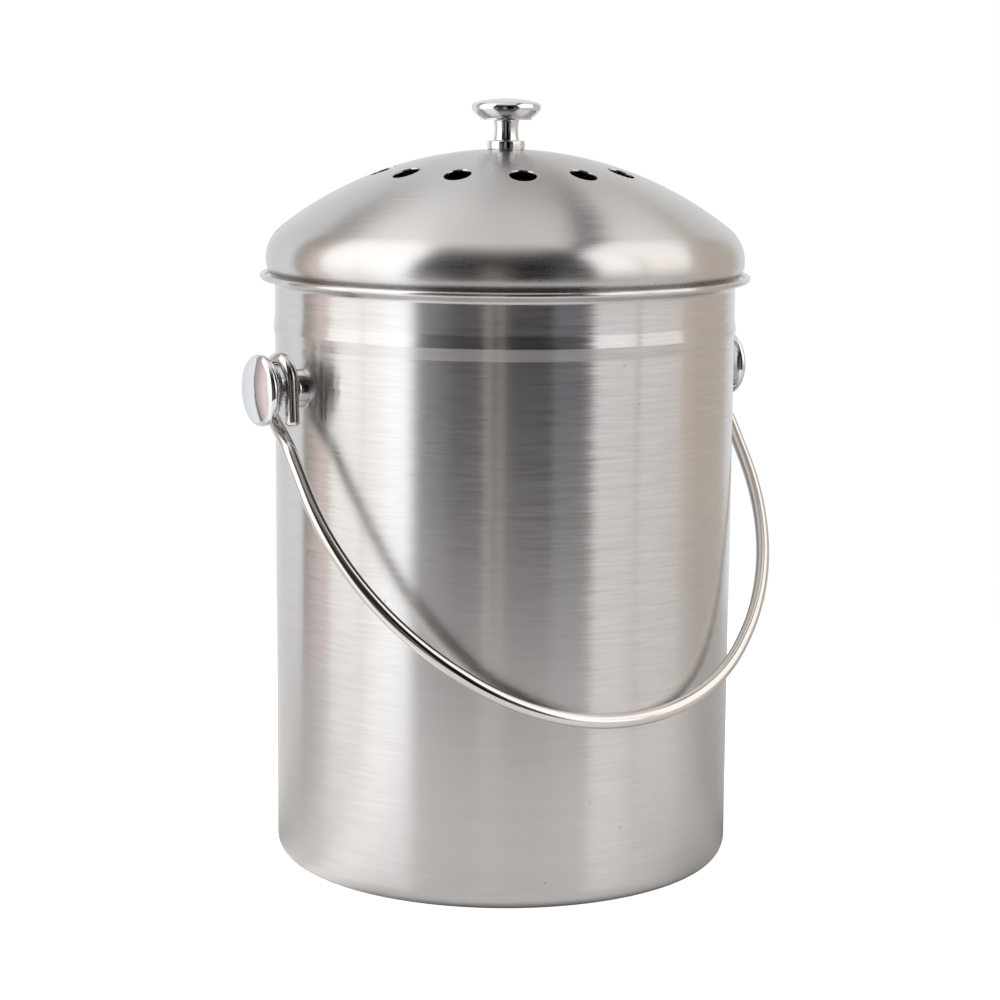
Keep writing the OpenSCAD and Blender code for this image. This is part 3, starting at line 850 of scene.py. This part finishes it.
def zinc(name):
    """Bright zinc plate on small pressed parts: blue-white with straw patches, turned marks and dull rubs."""
    m, g, sh = material(name)
    co = g.object_coords()
    patch = g.noise(co, 240.0, 4, 0.6)
    grain = g.noise(co, 2600.0, 2, 0.5)
    rub = g.noise(co, 620.0, 3, 0.7)
    col = g.mix(g.map(patch, 0.35, 0.68), rgb(0.60, 0.62, 0.65), rgb(0.66, 0.62, 0.52))
    col = g.mix(g.map(rub, 0.6, 0.78), col, rgb(0.42, 0.42, 0.42))
    g.put(sh.inputs["Base Color"], col)
    sh.inputs["Metallic"].default_value = 1.0
    r = g.math("MULTIPLY_ADD", g.sub(rub, 0.5), 0.35, 0.30)
    g.put(sh.inputs["Roughness"], r)
    n1 = g.bump(grain, 0.00002, 0.4)
    n2 = g.bump(rub, 0.00004, 0.3, n1)
    g.put(sh.inputs["Normal"], n2)
    return m


def rubber(name):
    m, g, sh = material(name)
    co = g.object_coords()
    bloom = g.noise(co, 300.0, 4, 0.6)
    pores = g.voronoi(co, 3200.0)
    col = g.mix(g.map(bloom, 0.4, 0.75), rgb(0.022, 0.022, 0.023), rgb(0.055, 0.054, 0.052))
    g.put(sh.inputs["Base Color"], col)
    g.put(sh.inputs["Roughness"], g.map(bloom, 0.3, 0.7, 0.62, 0.85, "LINEAR"))
    sh.inputs["Specular IOR Level"].default_value = 0.4
    n1 = g.bump(pores, 0.00003, 0.4)
    n2 = g.bump(bloom, 0.00008, 0.3, n1)
    g.put(sh.inputs["Normal"], n2)
    return m


def moulded_plastic(name):
    """Black moulded polypropylene: spark-eroded grain, faint flow marks, and pale rubs where it is handled."""
    m, g, sh = material(name)
    co = g.object_coords()
    grain = g.noise(co, 3300.0, 3, 0.55)
    pit = g.voronoi(co, 2600.0)
    flow = g.noise(co, 30.0, 4, 0.6, distortion=1.2)
    rub = g.noise(co, 130.0, 5, 0.7)
    col = g.mix(g.map(flow, 0.3, 0.72), rgb(0.014, 0.014, 0.015), rgb(0.026, 0.026, 0.027))
    col = g.mix(g.mul(g.map(rub, 0.60, 0.78), 0.5), col, rgb(0.075, 0.073, 0.07))
    g.put(sh.inputs["Base Color"], col)
    r = g.math("MULTIPLY_ADD", g.sub(rub, 0.5), -0.25, g.map(grain, 0.3, 0.7, 0.46, 0.58, "LINEAR"))
    g.put(sh.inputs["Roughness"], r)
    sh.inputs["IOR"].default_value = 1.49
    n1 = g.bump(grain, 0.00004, 0.45)
    n2 = g.bump(pit, 0.00003, 0.35, n1)
    g.put(sh.inputs["Normal"], n2)
    return m


def carbon_felt(name):
    """Needled black felt dusted with carbon: matted fibre, needle pits on a loose grid, greyer fluff on top."""
    m, g, sh = material(name)
    co = g.object_coords()
    ob = g.xyz(co)
    warp = g.noise(co, 260.0, 3, 0.6)
    fibre_a = g.noise(g.vec(g.math("MULTIPLY_ADD", warp, 1.6, g.mul(ob[0], 260)), g.mul(ob[1], 2300), g.mul(ob[2], 900)),
                      1.0, 3, 0.65)
    fibre_b = g.noise(g.vec(g.mul(ob[0], 2300), g.math("MULTIPLY_ADD", warp, 1.6, g.mul(ob[1], 260)), g.mul(ob[2], 900)),
                      1.0, 3, 0.65)
    fibre = g.math("MAXIMUM", fibre_a, fibre_b)
    pits = g.voronoi(co, 420.0)
    clump = g.noise(co, 90.0, 4, 0.6)
    col = g.mix(g.map(fibre, 0.45, 0.75), rgb(0.006, 0.006, 0.006), rgb(0.030, 0.030, 0.031))
    col = g.mix(g.mul(g.map(clump, 0.5, 0.75), 0.5), col, rgb(0.05, 0.05, 0.052))
    g.put(sh.inputs["Base Color"], col)
    g.put(sh.inputs["Roughness"], g.map(fibre, 0.3, 0.8, 0.98, 0.82, "LINEAR"))
    sh.inputs["Specular IOR Level"].default_value = 0.15
    sh.inputs["Sheen Weight"].default_value = 0.25
    sh.inputs["Sheen Roughness"].default_value = 0.5
    n1 = g.bump(fibre, 0.00025, 0.7)
    n2 = g.bump(pits, 0.0004, 0.35, n1)
    n3 = g.bump(clump, 0.0006, 0.4, n2)
    g.put(sh.inputs["Normal"], n3)
    return m


STEEL = ((0.568, 0.555, 0.550), (0.637, 0.6245, 0.622))
STEEL_LID = ((0.558, 0.545, 0.533), (0.619, 0.607, 0.596))
CHROME = ((0.70, 0.705, 0.72), (0.76, 0.765, 0.775))
NICKEL = ((0.62, 0.595, 0.565), (0.69, 0.665, 0.635))

mat_body = brushed_steel("body_steel", STEEL, 0.228, 0.985, seed=0.0)
mat_lid = brushed_steel("lid_steel", STEEL_LID, 0.272, 0.82, seed=21.0, grain=0.36, pitch=0.5)
mat_ring = brushed_steel("ring_steel", STEEL_LID, 0.31, 0.6, seed=41.0, grain=0.6)
mat_cast = plated("plated_casting", CHROME, 0.035, 0.00006)
mat_wire = drawn_wire("nickel_wire", NICKEL, 0.10)
mat_zinc = zinc("zinc_plate")
mat_rubber = rubber("seal_rubber")
mat_plastic = moulded_plastic("holder_plastic")
mat_felt = carbon_felt("carbon_felt")


# ----------------------------------------------------------- 10. the pieces
def dress(ob, mat, body, slot, *nodes):
    ob.data.materials.clear()
    ob.data.materials.append(mat)
    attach(ob, body)
    if nodes:
        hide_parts(*nodes)
    return ob


pail = dress(make_pail(), mat_body, "pail", "brushed_body", "pail_shell")
dome = dress(make_dome(), mat_lid, "lid", "brushed_lid", "lid_dome")
skirt = dress(make_skirt(), mat_ring, "lid", "brushed_lid", "lid_skirt")
knob = dress(make_casting("lid_knob_casting", knob_place), mat_cast, "lid", "cast_chrome", "lid_knob")
for side, word in ((-1, "left"), (1, "right")):
    dress(make_casting(word + "_stud_casting", stud_place(side), 0.28, stud_saddle), mat_cast, "pail", "cast_chrome",
          word + "_bail_stud")
bail = dress(make_bail(), mat_wire, "bail", "polished_wire", "bail_wire")
pad = dress(make_pad(), mat_felt, "filter", "charcoal_felt", "charcoal_filter")

for node, mat in [(n, mat_zinc) for n in ("left_stud_washer", "right_stud_washer", "left_stud_lock_washer",
                                          "right_stud_lock_washer", "left_stud_screw", "right_stud_screw",
                                          "knob_washer", "knob_lock_washer", "knob_screw")] + [
        ("left_stud_seal", mat_rubber), ("right_stud_seal", mat_rubber), ("filter_holder", mat_plastic)]:
    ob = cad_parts[node]
    ob.data.materials.clear()
    ob.data.materials.append(mat)

# ------------------------------------------------------- 11. camera and stage
# The photograph's view was solved as 31.2 degrees to the left of the front.
AZ = rad(-31.2)


def from_camera_frame(v):
    c, s = math.cos(AZ), math.sin(AZ)
    return Vector((v[0] * c - v[1] * s, v[0] * s + v[1] * c, v[2]))


PITCH, YAW, ROLL = rad(9.249), rad(-0.072), rad(0.453)
F = Vector((math.sin(YAW) * math.cos(PITCH), math.cos(YAW) * math.cos(PITCH), -math.sin(PITCH)))
RT = Vector((math.cos(YAW), -math.sin(YAW), 0))
UP = RT.cross(F)
right = from_camera_frame(RT * math.cos(ROLL) + UP * math.sin(ROLL))
up = from_camera_frame(UP * math.cos(ROLL) - RT * math.sin(ROLL))
back = from_camera_frame(-F)
place = from_camera_frame(Vector((0, -0.99434, 0.29681)))
cam_data = bpy.data.cameras.new("view")
cam_data.sensor_fit = "HORIZONTAL"
cam_data.sensor_width = 36.0
cam_data.lens = 2657.5 * 36.0 / 1000.0
cam_data.clip_start, cam_data.clip_end = 0.01, 50
cam = bpy.data.objects.new("view", cam_data)
m = Matrix.Identity(4)
for i in range(3):
    m[i][0], m[i][1], m[i][2], m[i][3] = right[i], up[i], back[i], place[i]
cam.matrix_world = m
bpy.context.scene.collection.objects.link(cam)
bpy.context.scene.camera = cam

# floor: a pale round table top, which ends in front of the part of it that the camera sees
work = Sheetwork()
g, uv = turned(tidy([(0, 0), (40, 0), (90, 0), (140, 0), (200, 0), (300, 0), (400, 0), (500, 0)]), 128)
g[..., 2] -= 0.05
work.grid(g, uv)
floor = work.build("floor")
fm, fg, fs = material("floor_paper")
paper = fg.noise(fg.object_coords(), 900.0, 3, 0.6)
fs.inputs["Roughness"].default_value = 0.9
fs.inputs["Emission Color"].default_value = rgb(1, 1, 1)
# painted light and shade: the floor's colour and glow are painted as if the light on it came mostly from the left
# front, and least from the right rear
over = fg.xyz(fg.object_coords())
ahead, aside = from_camera_frame((0, -1, 0)), from_camera_frame((1, 0, 0))
forth = fg.add(fg.mul(over[0], ahead[0]), fg.mul(over[1], ahead[1]))
side = fg.add(fg.mul(over[0], aside[0]), fg.mul(over[1], aside[1]))
round_it = fg.mul(fg.math("ARCTAN2", side, forth), 180 / math.pi)
right_back = fg.mul(fg.map(round_it, 86, 112), fg.map(round_it, 176, 150))
left_back = fg.mul(fg.map(round_it, -92, -108), fg.map(round_it, -168, -140))
away = fg.math("SQRT", fg.add(fg.mul(forth, forth), fg.mul(side, side)))
# painted shadow: a darker ring on the floor close to the pail's base, strongest on the right
near = fg.map(away, 0.135, 0.086)
# painted contact shadow: the floor under the body's bottom edge is darkened, which shows as a dark line in the body's
# reflection
painted_contact_shadow = fg.mul(fg.map(away, 0.0868, 0.080), fg.map(round_it, -60, 0, 0.3, 0.9))
# painted shade: the floor's colour is darker towards the right rear and a little lighter towards the left rear
painted_floor_shade = fg.math("MULTIPLY_ADD", right_back, -0.27, 1.0)
painted_floor_shade = fg.math("MULTIPLY_ADD", left_back, 0.02, painted_floor_shade)
painted_floor_shade = fg.math("MULTIPLY_ADD", fg.mul(near, fg.add(fg.map(round_it, 20, 115, 0.12, 1.0), fg.map(round_it, -66, -100, 0.0, 0.26))), -0.52, painted_floor_shade)
painted_floor_shade = fg.mul(painted_floor_shade, fg.math("MULTIPLY_ADD", painted_contact_shadow, -0.7, 1.0))
scale = fg.node("ShaderNodeVectorMath", operation="SCALE")
fg.put(scale.inputs[0], fg.mix(paper, rgb(0.74, 0.73, 0.715), rgb(0.78, 0.77, 0.755)))
fg.put(scale.inputs["Scale"], painted_floor_shade)
fg.put(fs.inputs["Base Color"], scale.outputs[0])
# painted light: the floor glows, brighter towards the left front, fainter to the right and not under the body's edge;
# camera rays get an added even glow that makes the floor look white
painted_floor_glow = fg.map(round_it, -98, -72, 0.0, 0.31)
painted_floor_glow = fg.add(painted_floor_glow, fg.map(round_it, -68, -57, 0.0, 0.27))
painted_floor_glow = fg.sub(painted_floor_glow, fg.map(round_it, -54, -30, 0.0, 0.36))
painted_floor_glow = fg.sub(painted_floor_glow, fg.map(round_it, 26, 54, 0.0, 0.09))
painted_floor_glow = fg.sub(painted_floor_glow, fg.map(round_it, 46, 60, 0.0, 0.07))
painted_floor_glow = fg.sub(painted_floor_glow, fg.map(round_it, 80, 104, 0.0, 0.07))
painted_floor_glow = fg.add(painted_floor_glow, fg.mul(fg.map(round_it, -106, -120), fg.map(round_it, -178, -160, 0.0, 0.07)))
painted_floor_glow = fg.mul(painted_floor_glow, fg.math("MULTIPLY_ADD", painted_contact_shadow, -0.95, 1.0))
first_look = fg.node("ShaderNodeLightPath").outputs["Is Camera Ray"]
fg.put(fs.inputs["Emission Strength"], fg.math("MULTIPLY_ADD", first_look, 1.0, painted_floor_glow))
floor.data.materials.append(fm)

# studio: one surrounding light with two tall soft panels, a dark gap at the front and a grey ceiling
world = bpy.data.worlds.new("studio")
bpy.context.scene.world = world
world.use_nodes = True
wt = world.node_tree
wt.nodes.clear()
w = Graph(wt)
direction = w.node("ShaderNodeTexCoord").outputs["Generated"]
turn = w.node("ShaderNodeMapping", vector_type="POINT")
turn.inputs["Rotation"].default_value = (0, 0, -AZ)
w.put(turn.inputs["Vector"], direction)
d = w.xyz(turn.outputs["Vector"])          # as seen from the camera: -Y is towards it, +X to its right
az = w.mul(w.math("ARCTAN2", d[0], w.mul(d[1], -1.0)), 180 / math.pi)
el = w.mul(w.math("ARCSINE", d[2]), 180 / math.pi)


def inside(lo, hi, soft_lo, soft_hi, v=az):
    a = w.map(v, lo - soft_lo, lo + soft_lo)
    b = w.map(v, hi - soft_hi, hi + soft_hi)
    return w.mul(a, w.sub(1.0, b))


def both(*ms):
    out = ms[0]
    for x in ms[1:]:
        out = w.mul(out, x)
    return out


def panel_top(centre, height):
    """Elevation of the level top edge of an upright panel that faces azimuth centre and is height times as tall as it
    is far away."""
    off = w.math("COSINE", w.mul(w.sub(az, centre), math.pi / 180))
    return w.mul(w.math("ARCTANGENT", w.mul(w.math("MAXIMUM", off, 0.02), height)), 180 / math.pi)


def sweep(turned_by, start, rise, reach):
    """A curve that leaves the horizon at an azimuth and levels out at an elevation."""
    run = w.mul(w.sub(turned_by, start), -1.0 / reach)
    return w.sub(rise, w.mul(w.math("EXPONENT", run), rise))


def grey(v, warm=0.0):
    return rgb(v * (1 + warm), v, v * (1 - warm))


back_az = w.mul(az, -1.0)
left_top = w.sub(panel_top(-106, 2.7), el)
right_top = w.sub(panel_top(102, 2.1), el)
left_rear = w.sub(el, sweep(back_az, 96, 51, 10))
left_cool = w.sub(el, sweep(back_az, 118.5, 38, 7.5))
right_rear = w.sub(el, sweep(az, 96, 39, 10))
low = w.map(el, 10, -6)
beneath = w.map(el, -3, -9)
behind = w.mul(w.sub(180.0, w.math("ABSOLUTE", az)), w.math("SIGN", az))    # 0 straight behind, + on the right

col = w.mix(w.map(az, -60, 60, kind="SMOOTHERSTEP"), grey(1.12, 0.01), grey(1.02, 0.01))        # ceiling
col = w.mix(w.map(back_az, 140, 175), col, grey(0.95, 0.01))
col = w.mix(both(inside(-58, 54, 9, 9), w.map(el, 86, 65)), col, grey(0.44, 0.02))
# the arc of shade over the right panel, which ends in a soft shade straight behind
col = w.mix(both(inside(30, 172, 6, 6), w.map(right_top, -10.5, -7.5)), col, grey(0.17, 0.02))
col = w.mix(both(w.map(behind, -10, -5), w.map(behind, 28, 18), w.map(el, 68, 54)), col, grey(0.46, 0.02))
# left panel, strongest beside the dark room and weaker behind the object
left_level = w.mix(w.map(az, -160, -80), grey(1.0), rgb(1.82, 1.80, 1.76))
left_level = w.mix(w.map(az, -66, -56), left_level, rgb(1.84, 1.88, 1.92))
left_low = w.mix(w.map(az, -70, -56), rgb(1.40, 1.375, 1.33), rgb(1.58, 1.63, 1.69))
left_level = w.mix(low, left_level, left_low)
left_edge = w.sub(az, w.mul(w.math("MAXIMUM", w.sub(el, 32), 0.0), -0.14))
left_on = w.mix(w.map(el, 12, 0), w.map(left_edge, -40.6, -47.4), w.map(left_edge, -37.5, -51.0))
left_off = w.mix(w.map(el, 12, 0), w.map(left_edge, -47.4, -40.6), w.map(left_edge, -51.0, -37.5))
col = w.mix(both(w.map(az, -181, -171), left_on, w.map(left_top, -3, 3)), col, left_level)
col = w.mix(both(inside(-74.8, -73.2, 0.6, 0.6), w.map(el, 30, 10)), col, grey(1.12, 0.01))
# right panel
right_level = w.mix(w.map(az, 100, 165), grey(1.48, 0.008), grey(0.72))
right_level = w.mix(w.map(az, 72, 58), right_level, grey(1.66, 0.004))
right_level = w.mix(inside(70, 94, 4, 5), right_level, rgb(1.56, 1.47, 1.42))
right_level = w.mix(w.map(el, 14, -5), right_level, rgb(0.93, 0.91, 0.885))
right_level = w.mix(beneath, right_level, w.mix(w.map(az, 58, 70), rgb(0.63, 0.622, 0.615), rgb(0.71, 0.70, 0.685)))
right_on = w.mix(w.map(el, -6, -11), w.map(az, 39.3, 46.8), w.map(az, 34.5, 49.5))
right_off = w.mix(w.map(el, -6, -11), w.map(az, 46.8, 39.3), w.map(az, 49.5, 34.5))
right_level = w.mix(both(w.map(az, 74, 98), w.map(el, -4, -9)), right_level, rgb(0.60, 0.578, 0.55))
col = w.mix(both(right_on, w.map(az, 184, 172), w.map(right_top, -2.5, 2.5)), col, right_level)
seam = w.math("MULTIPLY_ADD", w.math("MAXIMUM", el, 0.0), 0.12, 68.4)
seam = w.math("MULTIPLY_ADD", w.math("MINIMUM", w.add(el, 5.5), 0.0), 1.1, seam)
seam = w.sub(az, seam)
col = w.mix(both(inside(-0.8, 0.8, 0.5, 0.5, seam), w.map(el, 50, 30)), col, grey(0.40, 0.02))
# what stands behind the panels
band = w.mix(w.map(back_az, 101, 116), rgb(0.99, 0.845, 0.79), rgb(0.53, 0.465, 0.43))
band = w.mix(w.map(left_cool, 9, 2.5), band, rgb(0.24, 0.21, 0.19))
band = w.mix(w.map(back_az, 140, 172), band, grey(0.80))
col = w.mix(both(w.map(back_az, 92, 98), w.map(left_rear, 4, -4)), col, band)
cool = w.mix(w.map(back_az, 122, 152), rgb(1.01, 1.03, 1.045), rgb(0.83, 0.86, 0.885))
col = w.mix(both(w.map(back_az, 117, 120.4), w.map(left_cool, 2, -2)), col, cool)
tan_band = w.mix(w.map(az, 96, 118), rgb(0.77, 0.69, 0.62), rgb(0.68, 0.605, 0.54))
tan_band = w.mix(w.map(az, 118, 150), tan_band, rgb(0.64, 0.58, 0.52))
col = w.mix(both(w.map(az, 92, 99), w.map(right_rear, 4, -4)), col, tan_band)
col = w.mix(both(w.map(az, 138, 154), w.map(el, 36, 28)), col, rgb(0.83, 0.835, 0.845))
# the dark room itself, with a paler doorway and a darker middle
deep = w.map(el, 8, -4)
dark = w.mix(deep, grey(0.030), grey(0.052))
dark = w.mix(both(inside(-10.2, -5.4, 0.8, 0.8), w.map(el, 30, 8)), dark, rgb(0.34, 0.285, 0.255))
dark = w.mix(both(inside(-3.8, 0.4, 0.7, 0.7), w.map(el, 30, 8)), dark, rgb(0.285, 0.235, 0.215))
dark = w.mix(inside(4, 23, 2.5, 1.2), dark, grey(0.002))
dark = w.mix(both(w.map(az, 23, 25.5), w.map(az, 36.5, 34.5)), dark, w.mix(deep, grey(0.045), rgb(0.15, 0.168, 0.195)))
dark = w.mix(w.map(az, 34.5, 36.5), dark, w.mix(deep, grey(0.05), rgb(0.17, 0.145, 0.135)))
dark = w.mix(w.map(az, -20, -38), dark, w.mix(deep, grey(0.06), rgb(0.29, 0.292, 0.30)))
over_edge = w.sub(el, w.map(az, 14, 44, 0.0, 7.0))
dark = w.mix(w.map(over_edge, 36, 56), dark, grey(0.09))
col = w.mix(both(left_off, right_off, w.map(over_edge, 63, 50)), col, dark)
seen = w.node("ShaderNodeLightPath").outputs["Is Camera Ray"]
col = w.mix(seen, col, rgb(1.0, 1.0, 1.0))
bg = w.node("ShaderNodeBackground")
w.put(bg.inputs["Color"], col)
bg.inputs["Strength"].default_value = 1.0
wo = w.node("ShaderNodeOutputWorld")
wt.links.new(bg.outputs[0], wo.inputs["Surface"])

# a broad overhead light for the floor
lamp_data = bpy.data.lights.new("overhead", "AREA")
lamp_data.shape = "DISK"
lamp_data.size = 1.3
lamp_data.energy = 3.0
lamp = bpy.data.objects.new("overhead", lamp_data)
lamp.location = (0, 0, 1.3)
lamp.visible_glossy = False
lamp.visible_camera = False
bpy.context.scene.collection.objects.link(lamp)

sc = bpy.context.scene
sc.view_settings.view_transform = "Standard"
sc.view_settings.look = "None"
sc.view_settings.exposure = 0.0
sc.view_settings.gamma = 1.0
sc.cycles.max_bounces = 10
sc.cycles.glossy_bounces = 8
sc.cycles.diffuse_bounces = 3
sc.cycles.blur_glossy = 0.2
